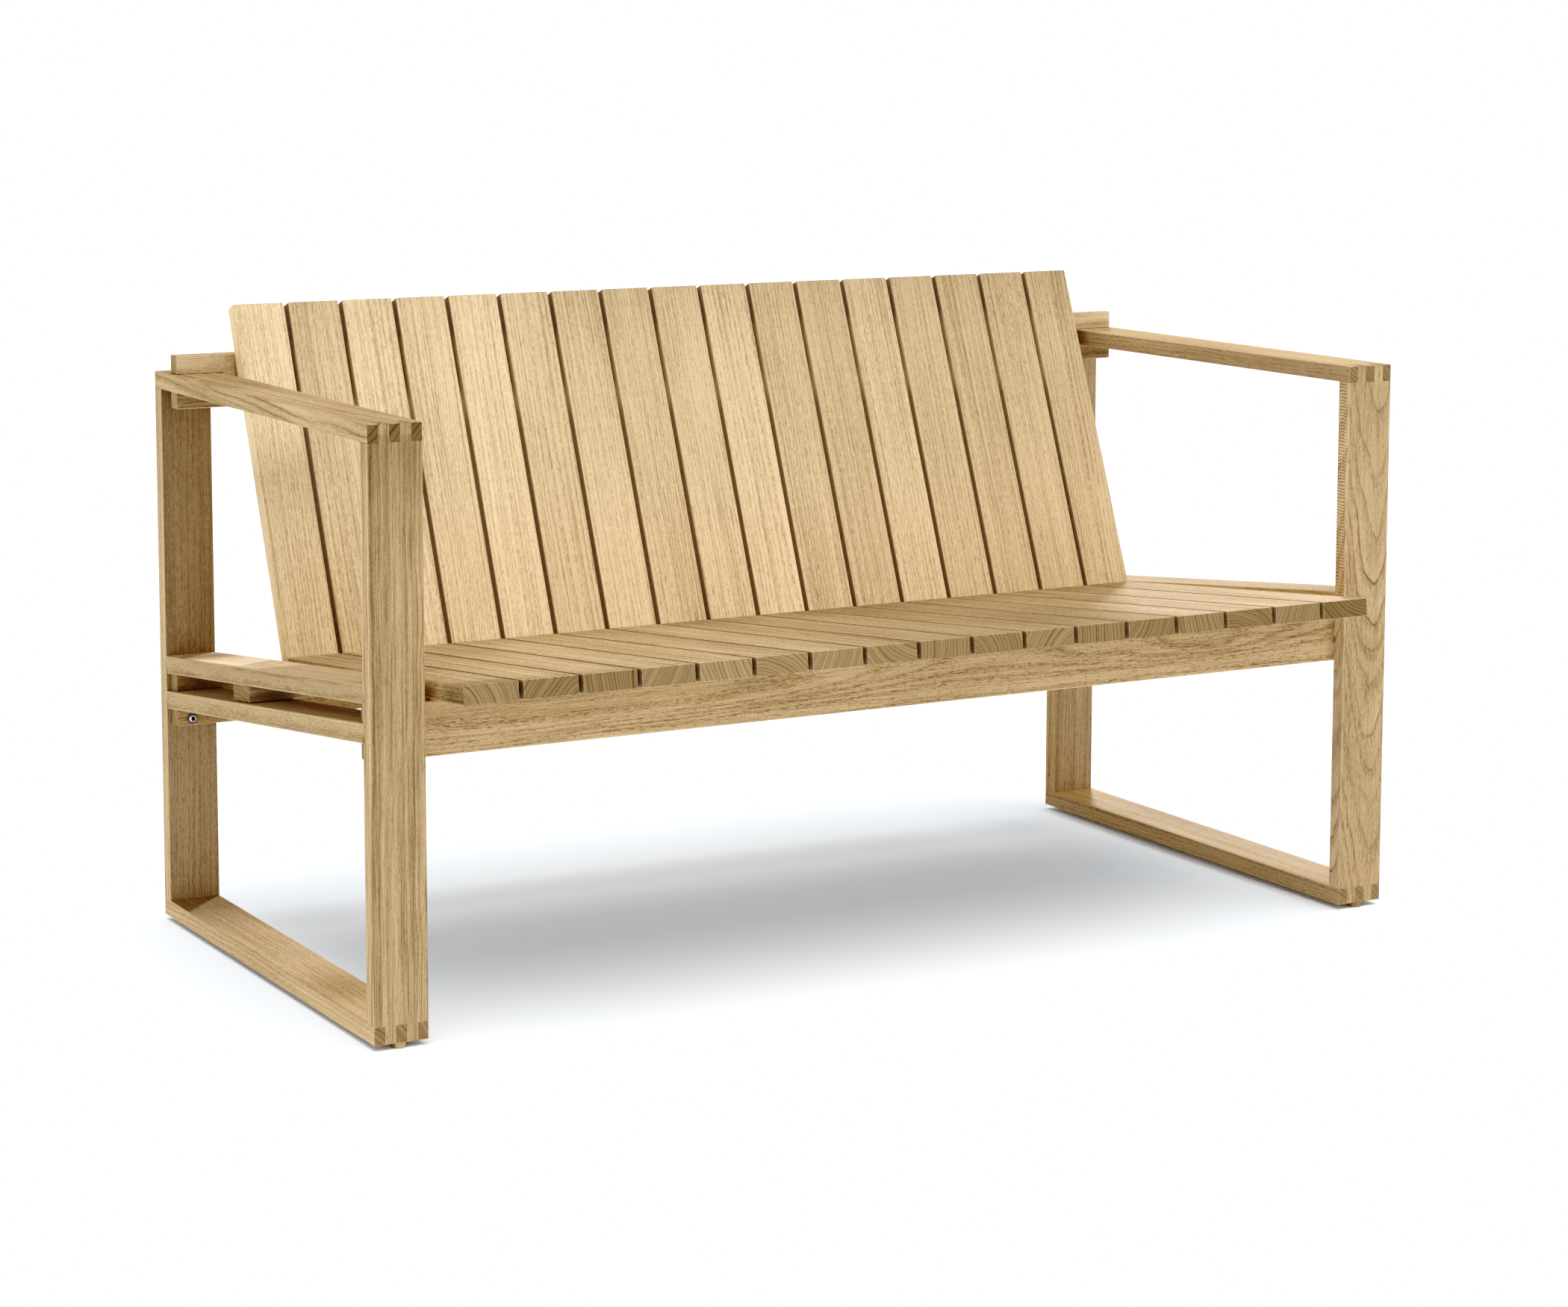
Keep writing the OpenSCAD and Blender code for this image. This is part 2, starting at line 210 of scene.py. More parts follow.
def wood(
    name,
    seed,
    half=(0.033, 0.0105),
    tone=1.0,
    base=0.4,
    pith=(0.02, -0.09),
    ring=0.0045,
    slope=0.012,
    bands=0.4,
    lines=0.5,
    streaks=0.4,
    hairs=0.25,
    pores=0.6,
    wander=0.004,
    ripple=None,
    ends=1.0,
    gap_sides=(0, 0),
    gap_shade_steps=None,
    along=None,
    shade=(1, 1, 1, 1),
    heights=None,
    tint=None,
    dots=0.0,
    crisp=False,
    waver=1.0,
    gloss=0.72,
    shine=0.03,
    wear_and_highlight=0.3,
):
    """Solid teak: growth rings round a pith line, fibres and pores along local X, end grain on the faces across X.
    pith is the pith's place across the board, in metres from its middle; slope tilts the rings along the board, which
    draws flames.
    base is how dark the board is between its lines, from 0 to 1. gap_sides says which faces across Y stand in a gap
    between boards, at +Y and at -Y, which get painted shade, and gap_shade_steps scales that shade's colour, as (place
    along X, factor) pairs. shade is painted light and shade on each long face, at +Y, -Y, +Z and -Z, a number or such
    pairs, and along is painted light and shade over the whole board, as pairs.
    heights paints shade on the -Y face by Z, as pairs too.
    tint is a colour over the board, or over one long face as (number in shade, colour), or a list of these; a tint over
    one face is painted, cooling that face against the warm bounced light it gets.
    crisp draws thinner ring lines, dots rows of pores along the rings, and ripple short bars across the grain on the -Y
    face, as pairs too."""
    m = bpy.data.materials.new(name)
    m.use_nodes = True
    t = m.node_tree
    t.nodes.clear()
    g = Graph(t)
    co = g.new("ShaderNodeTexCoord")
    p = co.outputs["Object"]
    off = (seed * 3.1 % 11.0, seed * 1.7 % 5.0, seed * 0.9 % 3.0)

    def field(scale, detail=2.0, rough=0.5, extra=0.0, distortion=0.0):
        """Noise whose cells are 1/scale metres along, across and through the board."""
        v = g.vmath("ADD", g.scaled(p, scale), tuple(o + extra for o in off))
        return g.noise(v, 1.0, detail, rough, distortion)

    xyz = g.new("ShaderNodeSeparateXYZ")
    g.put(xyz.inputs[0], p)
    x, y, z = xyz.outputs

    # fibres wander slowly, with a finer waver on top
    wa = g.math("SUBTRACT", field((1.5, 8, 8), 2.0, 0.5, 1.0), 0.5)
    wb = g.math("SUBTRACT", field((1.5, 8, 8), 2.0, 0.5, 21.0), 0.5)
    wc = g.math("SUBTRACT", field((13, 26, 26), 2.0, 0.5, 41.0), 0.5)
    yy = g.math("MULTIPLY_ADD", wa, 4 * wander, y)
    zz = g.math("MULTIPLY_ADD", wb, 4 * wander, z)
    dy = g.math("SUBTRACT", yy, pith[0])
    dz = g.math("SUBTRACT", zz, pith[1])
    r = g.math("SQRT", g.math("ADD", g.math("MULTIPLY", dy, dy), g.math("MULTIPLY", dz, dz)))
    r = g.math("MULTIPLY_ADD", x, slope, g.math("MULTIPLY_ADD", wc, 0.004 * waver, r))

    # rings of uneven width and strength
    uneven = g.noise1(g.math("MULTIPLY_ADD", r, 1.0 / (ring * 5.0), seed * 2.3), 1.0, 1.0)
    turn = g.math("ADD", g.math("DIVIDE", r, ring), g.math("MULTIPLY", uneven, 2.6))
    phase = g.math("FRACT", turn)
    which = g.new("ShaderNodeTexWhiteNoise", noise_dimensions="1D")
    g.put(which.inputs["W"], g.math("FLOOR", g.math("ADD", turn, seed * 10.0)))
    strong = g.line(which.outputs["Value"], 0.0, 1.0, 0.15, 1.0)
    if crisp:
        edge = g.curve(phase, [(0.0, 1.0), (0.03, 0.45), (0.08, 0.1), (0.4, 0.0), (0.86, 0.04), (0.94, 0.3), (0.98, 0.85), (1.0, 1.0)])
    else:
        edge = g.curve(phase, [(0.0, 1.0), (0.05, 0.55), (0.13, 0.12), (0.4, 0.0), (0.78, 0.08), (0.9, 0.35), (0.96, 0.8), (1.0, 1.0)])
    fade = g.step(field((7, 45, 45), 2.0, 0.5, 33.0), 0.36, 0.6, 0.35, 1.0)
    late = g.math("MULTIPLY", g.math("MULTIPLY", edge, strong), fade)
    early = g.curve(phase, [(0.0, 0.5), (0.1, 1.0), (0.3, 0.6), (0.55, 0.0), (0.9, 0.0), (1.0, 0.5)])

    # tone of whole rings, streaks along the fibres, and cloudy patches
    band = g.step(g.noise1(g.math("MULTIPLY_ADD", turn, 0.62, seed * 5.3), 1.0, 2.0), 0.32, 0.68, -0.5, 0.5)
    thin = g.step(field((3.2, 230, 230), 2.0, 0.6, 9.0), 0.3, 0.7, -0.5, 0.5)
    hair = g.step(field((16, 1250, 1250), 1.0, 0.5, 15.0), 0.25, 0.75, -0.5, 0.5)
    patch = g.math("SUBTRACT", field((2.6, 12, 12), 2.0, 0.5, 13.0), 0.5)

    # pores: short dark dashes, crowded in the early wood
    dash = field((170, 1500, 1500), 1.0, 0.4, 2.0, 0.05)
    dash2 = field((85, 1050, 1050), 1.0, 0.4, 4.0, 0.05)
    crowd = g.math("ADD", g.math("MULTIPLY", early, 0.12), g.math("MULTIPLY", patch, 0.18))
    pore = g.step(g.math("ADD", dash, crowd), 0.58, 0.70)
    pore2 = g.step(g.math("ADD", dash2, crowd), 0.65, 0.72)
    pore = g.math("MAXIMUM", g.math("MULTIPLY", pore, 0.75), pore2)
    if dots:
        row = g.new("ShaderNodeCombineXYZ")
        g.put(row.inputs[0], g.math("MULTIPLY", x, 135.0))
        g.put(row.inputs[1], g.math("MULTIPLY", g.math("FLOOR", turn), 7.31))
        broken = g.step(g.noise(row.outputs[0], 1.0, 1.0, 0.5), 0.50, 0.56)
        narrow = g.curve(phase, [(0.0, 0.6), (0.05, 1.0), (0.14, 0.8), (0.22, 0.0), (0.94, 0.0), (1.0, 0.6)])
        crowded = g.step(field((5, 30, 30), 2.0, 0.5, 51.0), 0.38, 0.58, 0.25, 1.0)
        rows = g.math("MULTIPLY", g.math("MULTIPLY", broken, narrow), crowded)
        pore = g.math("MAXIMUM", pore, g.math("MULTIPLY", rows, dots))

    # colour
    k = g.math("MULTIPLY_ADD", band, bands, base)
    k = g.math("MULTIPLY_ADD", thin, 0.5 * streaks, k)
    k = g.math("MULTIPLY_ADD", hair, hairs, k)
    k = g.math("MULTIPLY_ADD", patch, 0.55, k)
    grit = g.step(field((420, 1000, 1000), 1.0, 0.5, 27.0), 0.25, 0.75, -0.5, 0.5)
    k = g.math("MULTIPLY_ADD", grit, 0.3, k)
    ramp = g.new("ShaderNodeValToRGB")
    g.put(ramp.inputs[0], k)
    el = ramp.color_ramp.elements
    el[0].position, el[0].color = 0.0, rgba(STRAW, tone)
    el[1].position, el[1].color = 1.0, rgba(BROWN, tone)
    el.new(0.36).color = rgba(HONEY, tone)
    el.new(0.68).color = rgba(TAN, tone)
    colour = ramp.outputs[0]
    colour = g.mix(g.math("MULTIPLY", late, lines), colour, rgba(BROWN, 0.8 * tone))
    nrm = g.new("ShaderNodeSeparateXYZ")
    g.put(nrm.inputs[0], co.outputs["Normal"])
    if ripple:
        turned = g.math("MULTIPLY_ADD", field((60, 150, 150), 1.0, 0.5, 61.0), 1.6, g.math("MULTIPLY", x, 250.0))
        bars = g.curve(g.math("FRACT", turned), [(0.0, 0.0), (0.42, 0.0), (0.54, 1.0), (0.76, 1.0), (0.88, 0.0), (1.0, 0.0)])
        bars = g.math("MULTIPLY", bars, g.step(field((40, 300, 220), 1.0, 0.5, 71.0), 0.28, 0.42))
        bars = g.math("MULTIPLY", bars, g.step(z, -0.0085, -0.0045))
        on = g.math("MULTIPLY", g.step(g.math("MULTIPLY", nrm.outputs[1], -1.0), 0.5, 0.9), g.stops(x, ripple))
        colour = g.mix(g.math("MULTIPLY", bars, on), colour, rgba(BROWN, 0.9 * tone))
    colour = g.mix(g.math("MULTIPLY", pore, 0.8 * pores), colour, rgba(PORE, tone))
    # a tint over the whole board is the wood's hue; a tint over one face is painted, cooling it against warm bounced
    # light
    for one in tint if isinstance(tint, list) else [tint] if tint else []:
        if len(one) == 2:
            socket, sign = ((1, 1), (1, -1), (2, 1), (2, -1))[one[0]]
            facing = g.step(g.math("MULTIPLY", nrm.outputs[socket], float(sign)), 0.5, 0.85)
            colour = g.mix(facing, colour, g.vmath("MULTIPLY", colour, one[1]))
        else:
            colour = g.vmath("MULTIPLY", colour, one)

    # end grain: darker, ring lines clear, pores as dots
    endmask = g.step(g.math("ABSOLUTE", nrm.outputs[0]), 0.72, 0.92)
    speck = field((300, 640, 640), 2.0, 0.6, 3.0)
    ek = g.math("ADD", g.math("MULTIPLY", g.math("MAXIMUM", edge, 0.0), 0.75), g.math("MULTIPLY", g.math("ADD", band, 0.5), 0.3))
    ek = g.math("MULTIPLY_ADD", g.step(speck, 0.52, 0.68), 0.25, ek)
    end_colour = g.mix(ek, rgba(END_PALE, ends * tone), rgba(END_DARK, ends * tone))
    colour = g.mix(endmask, colour, end_colour)

    # painted light and shade on each long face, on the -Y face by height, and on the whole board along its length
    level = None
    for face, (socket, sign) in zip(shade, ((1, 1), (1, -1), (2, 1), (2, -1))):
        if face == 1:
            continue
        facing = g.step(g.math("MULTIPLY", nrm.outputs[socket], float(sign)), 0.5, 0.85)
        change = g.math("SUBTRACT", g.stops(x, face), 1.0) if isinstance(face, (list, tuple)) else face - 1.0
        facing = g.math("MULTIPLY", facing, change)
        level = g.math("ADD", facing, 1.0 if level is None else level)
    if heights:
        facing = g.step(g.math("MULTIPLY", nrm.outputs[1], -1.0), 0.5, 0.85)
        facing = g.math("MULTIPLY_ADD", facing, g.math("SUBTRACT", g.stops(z, heights), 1.0), 1.0)
        level = facing if level is None else g.math("MULTIPLY", level, facing)
    if along:
        run = g.stops(x, along)
        level = run if level is None else g.math("MULTIPLY", level, run)
    if level is not None:
        colour = g.vmath("MULTIPLY", colour, g.grey(level))

    # painted shade on the faces in the gaps between boards
    if gap_sides[0] or gap_sides[1]:
        n_y = nrm.outputs[1]
        if gap_sides[0] and gap_sides[1]:
            n_y = g.math("ABSOLUTE", n_y)
        elif gap_sides[1]:
            n_y = g.math("MULTIPLY", n_y, -1.0)
        dark = g.vmath("MULTIPLY", g.grey(g.stops(x, gap_shade_steps)), GAP_SHADE) if gap_shade_steps else rgba(GAP_SHADE)
        colour = g.mix(g.math("MULTIPLY", g.step(n_y, 0.6, 0.92), 0.9), colour, dark)

    # painted highlight: the long edges are a little lighter, and a little smoother where handled
    if wear_and_highlight:
        ey = g.step(g.math("SUBTRACT", g.math("ABSOLUTE", y), half[0]), -0.0020, -0.0004)
        ez = g.step(g.math("SUBTRACT", g.math("ABSOLUTE", z), half[1]), -0.0020, -0.0004)
        rub_and_highlight = g.math("MULTIPLY", g.math("MULTIPLY", ey, ez), g.line(patch, -0.2, 0.2, 0.6, 1.0))
        colour = g.mix(g.math("MULTIPLY", rub_and_highlight, wear_and_highlight), colour, rgba(STRAW, 1.1))

    rough = g.math("MULTIPLY_ADD", thin, 0.06, gloss)
    rough = g.math("MULTIPLY_ADD", pore, 0.15, rough)
    rough = g.math("MULTIPLY_ADD", endmask, 0.15, rough)
    if wear_and_highlight:
        rough = g.math("MULTIPLY_ADD", rub_and_highlight, -0.08, rough)

    h = g.math("MULTIPLY_ADD", grit, 0.35, g.math("MULTIPLY", hair, 0.3))
    h = g.math("MULTIPLY_ADD", pore, -0.9, h)
    h = g.math("MULTIPLY_ADD", late, -0.3, h)
    h = g.math("MULTIPLY_ADD", thin, 0.3, h)
    bump = g.new("ShaderNodeBump")
    bump.inputs["Strength"].default_value = 0.4
    bump.inputs["Distance"].default_value = 0.00025
    g.put(bump.inputs["Height"], h)

    b = g.new("ShaderNodeBsdfPrincipled")
    g.put(b.inputs["Base Color"], colour)
    g.put(b.inputs["Roughness"], rough)
    g.put(b.inputs["Normal"], bump.outputs[0])
    b.inputs["IOR"].default_value = 1.45
    b.inputs["Specular IOR Level"].default_value = shine
    b.inputs["Specular Tint"].default_value = (1.0, 0.82, 0.56, 1)
    out = g.new("ShaderNodeOutputMaterial")
    t.links.new(b.outputs[0], out.inputs[0])
    return m


def socket_shade(name):
    """Near-black colour painted in the sockets as the shade deep inside them."""
    m = bpy.data.materials.new(name)
    m.use_nodes = True
    b = m.node_tree.nodes["Principled BSDF"]
    b.inputs["Base Color"].default_value = (0.012, 0.011, 0.010, 1)
    b.inputs["Roughness"].default_value = 0.8
    b.inputs["Specular IOR Level"].default_value = 0.1
    return m


def steel(name, level=0.6):
    m = bpy.data.materials.new(name)
    m.use_nodes = True
    t = m.node_tree
    t.nodes.clear()
    g = Graph(t)
    co = g.new("ShaderNodeTexCoord")
    p = co.outputs["Object"]
    brushed = g.noise(g.scaled(p, (900, 4000, 900)), 1.0, 3.0, 0.6)
    cloud = g.noise(g.scaled(p, (220, 220, 220)), 1.0, 2.0, 0.5)
    colour = g.mix(cloud, (0.85 * level, 0.85 * level, 0.86 * level, 1), (1.1 * level, 1.1 * level, 1.11 * level, 1))
    bump = g.new("ShaderNodeBump")
    bump.inputs["Strength"].default_value = 0.2
    bump.inputs["Distance"].default_value = 0.00005
    g.put(bump.inputs["Height"], brushed)
    b = g.new("ShaderNodeBsdfPrincipled")
    g.put(b.inputs["Base Color"], colour)
    b.inputs["Metallic"].default_value = 1.0
    g.put(b.inputs["Roughness"], g.line(brushed, 0.2, 0.8, 0.24, 0.42))
    g.put(b.inputs["Normal"], bump.outputs[0])
    out = g.new("ShaderNodeOutputMaterial")
    t.links.new(b.outputs[0], out.inputs[0])
    return m


# ---------------------------------------------------------------- meshes
BIG = 1.4


def prism(name, node, outline, axis, a, b, place, material, width, far_drop=None):
    """A board: outline (two local coordinates, mm) drawn out along the third local axis from a to b.
    width(p, q) gives the rounding of the edge from p to q in mm. place is the local frame in the row frame, mm.
    Local X always runs with the grain."""
    bm = bmesh.new()

    def vert(uv, w, i):
        c = [0.0, 0.0, 0.0]
        if axis == "x":
            c[1], c[2], c[0] = uv[0], uv[1], w
        elif axis == "y":
            c[0], c[2], c[1] = uv[0], uv[1], w
        else:
            c[0], c[1], c[2] = uv[0], uv[1], w
        return bm.verts.new([v * 0.001 for v in c])

    far = [(u, v - (far_drop[i] if far_drop else 0.0)) for i, (u, v) in enumerate(outline)]
    lo = [vert(q, a, i) for i, q in enumerate(outline)]
    hi = [vert(q, b, i) for i, q in enumerate(far)]
    n = len(outline)
    bm.faces.new(lo)
    bm.faces.new(hi[::-1])
    for i in range(n):
        j = (i + 1) % n
        bm.faces.new([lo[j], lo[i], hi[i], hi[j]])
    bmesh.ops.recalc_face_normals(bm, faces=bm.faces)
    weight = bm.edges.layers.float.new("bevel_weight_edge")
    for e in bm.edges:
        p, q = (v.co * 1000 for v in e.verts)
        f = e.link_faces
        if len(f) == 2 and f[0].normal.dot(f[1].normal) > 0.9999:
            continue
        e[weight] = min(1.0, width(p, q) / 4.0)
    me = bpy.data.meshes.new(name)
    bm.to_mesh(me)
    bm.free()
    ob = bpy.data.objects.new(name, me)
    bpy.context.scene.collection.objects.link(ob)
    ob.data.materials.append(material)
    return finish_piece(ob, node, place)


def finish_piece(ob, node, place, bevel=True, smooth=True):
    me = ob.data
    if smooth:
        me.polygons.foreach_set("use_smooth", [True] * len(me.polygons))
    if bevel:
        mod = ob.modifiers.new("Rounding", "BEVEL")
        mod.limit_method = "WEIGHT"
        mod.offset_type = "OFFSET"
        mod.width = 0.004
        mod.segments = 4
        mod.use_clamp_overlap = True
        mod.harden_normals = True
        dg = bpy.context.evaluated_depsgraph_get()
        baked = bpy.data.meshes.new_from_object(ob.evaluated_get(dg), preserve_all_data_layers=True, depsgraph=dg)
        ob.modifiers.clear()
        ob.data = baked
        bpy.data.meshes.remove(me)
        baked.name = ob.name
    m = Matrix(place)
    m.translation = m.translation * 0.001
    ob.matrix_world = m
    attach(ob, "root")
    for nd in node if isinstance(node, (list, tuple)) else [node]:
        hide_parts(nd)
    return ob


def frame_at(origin, ex, ey):
    """Local frame from an origin (mm) and its X and Y directions."""
    ex, ey = Vector(ex).normalized(), Vector(ey).normalized()
    ez = ex.cross(ey)
    m = Matrix((ex, ey, ez)).transposed().to_4x4()
    m.translation = Vector(origin)
    return m


def comb(length, keep):
    """Outline of a board with comb fingers at both ends, in (x, y), origin at its left end's middle."""
    f, d, g = FRAME_W / FINGERS, FRAME_T, 0.1
    cuts = [-FRAME_W / 2 + i * f for i in range(FINGERS + 1)]

    def edge(i):  # the cut between finger i-1 and i, moved so that a hair line stays open
        if i in (0, FINGERS):
            return cuts[i]
        return cuts[i] + (-g if (i - 1) in keep else g)

    pts = []
    for i in range(FINGERS):
        xe = length if i in keep else length - d
        pts += [(xe, edge(i)), (xe, edge(i + 1))]
    for i in reversed(range(FINGERS)):
        xs = 0.0 if i in keep else d
        pts += [(xs, edge(i + 1)), (xs, edge(i))]
    return pts


def comb_board(name, node, length, keep, place, outer, material):
    """outer is +1 if local +Z is the side frame's outside, and -1 if it is -Z."""
    t = FRAME_T / 2
    hair = 0.18

    def width(p, q):
        along_x, along_y = abs(p.x - q.x) > 1e-3, abs(p.y - q.y) > 1e-3
        side = abs(abs(p.y) - FRAME_W / 2) < 1e-3 and abs(abs(q.y) - FRAME_W / 2) < 1e-3
        at_end = min(p.x, q.x) < 1e-3 or max(p.x, q.x) > length - 1e-3
        if along_x:
            return BIG if side and abs(p.x - q.x) > 60 else hair
        if along_y:
            return BIG if at_end and p.z * outer > 0 and abs(p.x - q.x) < 1e-3 else hair
        return BIG if side and at_end else hair

    return prism(name, node, comb(length, keep), "z", -t, t, place, material, width)


def put_side(side, sign):
    """The boards of one side frame. sign is -1 for the left, which has X below 0."""
    x = sign * (HALF_W - FRAME_W / 2)
    L = FRAME_D
    H = ARM_TOP - FOOT_H
    s = 0 if sign < 0 else 40
    t = FRAME_T / 2
    look = SIDE_LOOKS[side]
    # arm: local X to the rear, Z up
    comb_board(side + "_arm_wood", side + "_arm", L, (0, 2, 4), frame_at((x, Y_F, ARM_TOP - t), (0, 1, 0), (-1, 0, 0)), 1, wood(side + "_arm_teak", 3 + s, **look["arm"]))
    comb_board(side + "_runner_wood", side + "_runner", L, (0, 2, 4), frame_at((x, Y_F, FOOT_H + t), (0, 1, 0), (-1, 0, 0)), -1, wood(side + "_runner_teak", 5 + s, **look["runner"]))
    # posts: local X up
    comb_board(side + "_front_post_wood", side + "_front_post", H, (1, 3), frame_at((x, Y_F + t, FOOT_H), (0, 0, 1), (1, 0, 0)), -1, wood(side + "_front_post_teak", 7 + s, **look["front_post"]))
    comb_board(side + "_rear_post_wood", side + "_rear_post", H, (1, 3), frame_at((x, Y_R - t, FOOT_H), (0, 0, 1), (1, 0, 0)), 1, wood(side + "_rear_post_teak", 9 + s, **look["rear_post"]))
    # side boards: local X down the slope to the rear, Z out of the seat
    c, sn = math.cos(SIDE_S), math.sin(SIDE_S)
    for which, drop in (("upper", 0.0), ("lower", SIDE_V + SIDE_GAP)):
        z0 = SIDE_H - drop
        top0, top1 = FRAME_T / c, (FRAME_D - FRAME_T) / c
        dx = SIDE_T * math.tan(SIDE_S)
        # upright end cuts lean in the board's own frame
        out = [(top0 + 0.1 - dx, -SIDE_T), (top1 - 0.1 - dx, -SIDE_T), (top1 - 0.1, 0.0), (top0 + 0.1, 0.0)]
        out = [(u, v + SIDE_T / 2) for u, v in out]
        org = Vector((x, Y_F, z0)) + Vector((0, sn, c)) * (-SIDE_T / 2)

        def width(p, q):
            return BIG if abs(p.x - q.x) > 60 else 0.5

        prism(side + "_" + which + "_side_board_wood", side + "_" + which + "_side_board", out, "y", -FRAME_W / 2, FRAME_W / 2,
              frame_at(org, (0, c, -sn), (-1, 0, 0)), wood(side + "_" + which + "_side_teak", (11 if which == "upper" else 13) + s, **look[which]), width)


def cross_rail(name, node, y0, y1, bottom, look, seed, under):
    """Notched rail in front of or behind the side boards. under is the seat boards' underside height at y0 and y1, or None."""
    u0 = side_under(y0 - Y_F) - 0.2
    drop = (y1 - y0) * math.tan(SIDE_S)
    lt = u0 - SIDE_GAP + 0.3 + 0.2
    lb = lt - SIDE_V - 0.6
    zt = u0
    zc = (bottom + zt) / 2
    right = [(RAIL_X, bottom, 0), (RAIL_X, lb, 1), (633.0, lb, 1), (633.0, lt, 1), (RAIL_X, lt, 1), (RAIL_X, zt, 1)]
    if under is not None:
        right += [(INNER, zt, 1), (INNER, under, 1)]
    pts = [(-RAIL_X, bottom, 0)] + right
    pts += [(-a, b, c) for a, b, c in reversed(right[1:])]
    # counter-clockwise in (x, z)
    outline = [(a, b - zc) for a, b, c in pts]
    # the far end of the draw is the rear face, where the slope has dropped the notches
    t = (y1 - y0) / 2

    def width(p, q):
        if abs(p.x - q.x) > 200:
            return 1.2
        corner = abs(abs(p.x) - RAIL_X) < 1 and abs(abs(q.x) - RAIL_X) < 1 and abs(p.z + zc - bottom) < 1 and abs(q.z + zc - bottom) < 1
        if corner:
            return 3.0
        return 0.6

    return prism(name, node, outline, "y", -t, t, frame_at((0, (y0 + y1) / 2, zc), (1, 0, 0), (0, 1, 0)), wood(name + "_teak", seed, **look), width,
                 far_drop=[drop if c else 0.0 for a, b, c in pts])


def put_rails():
    y0 = Y_F + FRAME_T
    seat_under = SEAT_H - (y0 - Y_F) * math.tan(SEAT_S) - SEAT_T / math.cos(SEAT_S)
    cross_rail("front_rail_wood", "front_rail", y0 + 0.1, y0 + RAIL_T, 320.8, RAIL_LOOKS["front"], 61, seat_under - 0.1)
    y1 = Y_R - FRAME_T
    cross_rail("rear_rail_wood", "rear_rail", y1 - RAIL_T, y1 - 0.1, 254.3, RAIL_LOOKS["rear"], 63, None)
    # upper back rail
    b0, top, h = back_rear(721.2), 721.2, 66.2
    lo, hi = ARM_TOP - FRAME_T, ARM_TOP + 0.5
    zc = top - h / 2
    right = [(RAIL_X, top - h), (RAIL_X, lo), (632.6, lo), (632.6, hi), (RAIL_X, hi), (RAIL_X, top)]
    pts = [(-RAIL_X, top - h)] + right + [(-a, b) for a, b in reversed(right[1:])]
    outline = [(a, b - zc) for a, b in pts]

    def width(p, q):
        if abs(p.x - q.x) > 200:
            return 1.0
        corner = abs(abs(p.x) - RAIL_X) < 1 and abs(abs(q.x) - RAIL_X) < 1 and abs(p.z - q.z) < 0.1 and min(abs(p.z - h / 2), abs(p.z + h / 2)) < 1
        return 2.6 if corner and p.z < 0 else (1.6 if corner else 0.6)

    prism("upper_back_rail_wood", "upper_back_rail", outline, "y", -RAIL_T / 2, RAIL_T / 2,
          frame_at((0, b0 + RAIL_T / 2, zc), (1, 0, 0), (0, 1, 0)), wood("upper_back_rail_teak", 65, **RAIL_LOOKS["upper"]), width)
    # wedge batten
    z0 = top - h
    tri = [(back_rear(z0) - b0 + 0.1, z0 - zc), (0 - 0.1, z0 - zc), (0 - 0.1, top - 2 - zc)]
    prism("back_wedge_batten_wood", "back_wedge_batten", tri, "x", -ROW, ROW,
          frame_at((0, b0, zc), (1, 0, 0), (0, 1, 0)), wood("wedge_teak", 67, **RAIL_LOOKS["wedge"]), lambda p, q: 0.4)
    # bearer
    bt, bw = 21.5, 52.0
    c, sn = math.cos(SEAT_S), math.sin(SEAT_S)
    y1 = back_at(-SEAT_T - bt)
    org = Vector((0, Y_F, SEAT_H)) + Vector((0, c, -sn)) * (y1 - bw / 2) + Vector((0, sn, c)) * (-SEAT_T - bt / 2)
    outline = [(-RAIL_X, -bt / 2), (RAIL_X, -bt / 2), (RAIL_X, bt / 2 - 1.1), (INNER, bt / 2 - 1.1), (INNER, bt / 2), (-INNER, bt / 2), (-INNER, bt / 2 - 1.1), (-RAIL_X, bt / 2 - 1.1)]
    prism("seat_bearer_wood", "seat_bearer", outline, "y", -bw / 2, bw / 2,
          frame_at(org, (1, 0, 0), (0, c, -sn)), wood("bearer_teak", 69, **RAIL_LOOKS["bearer"]), lambda p, q: 1.2 if abs(p.x - q.x) > 200 else 0.8)


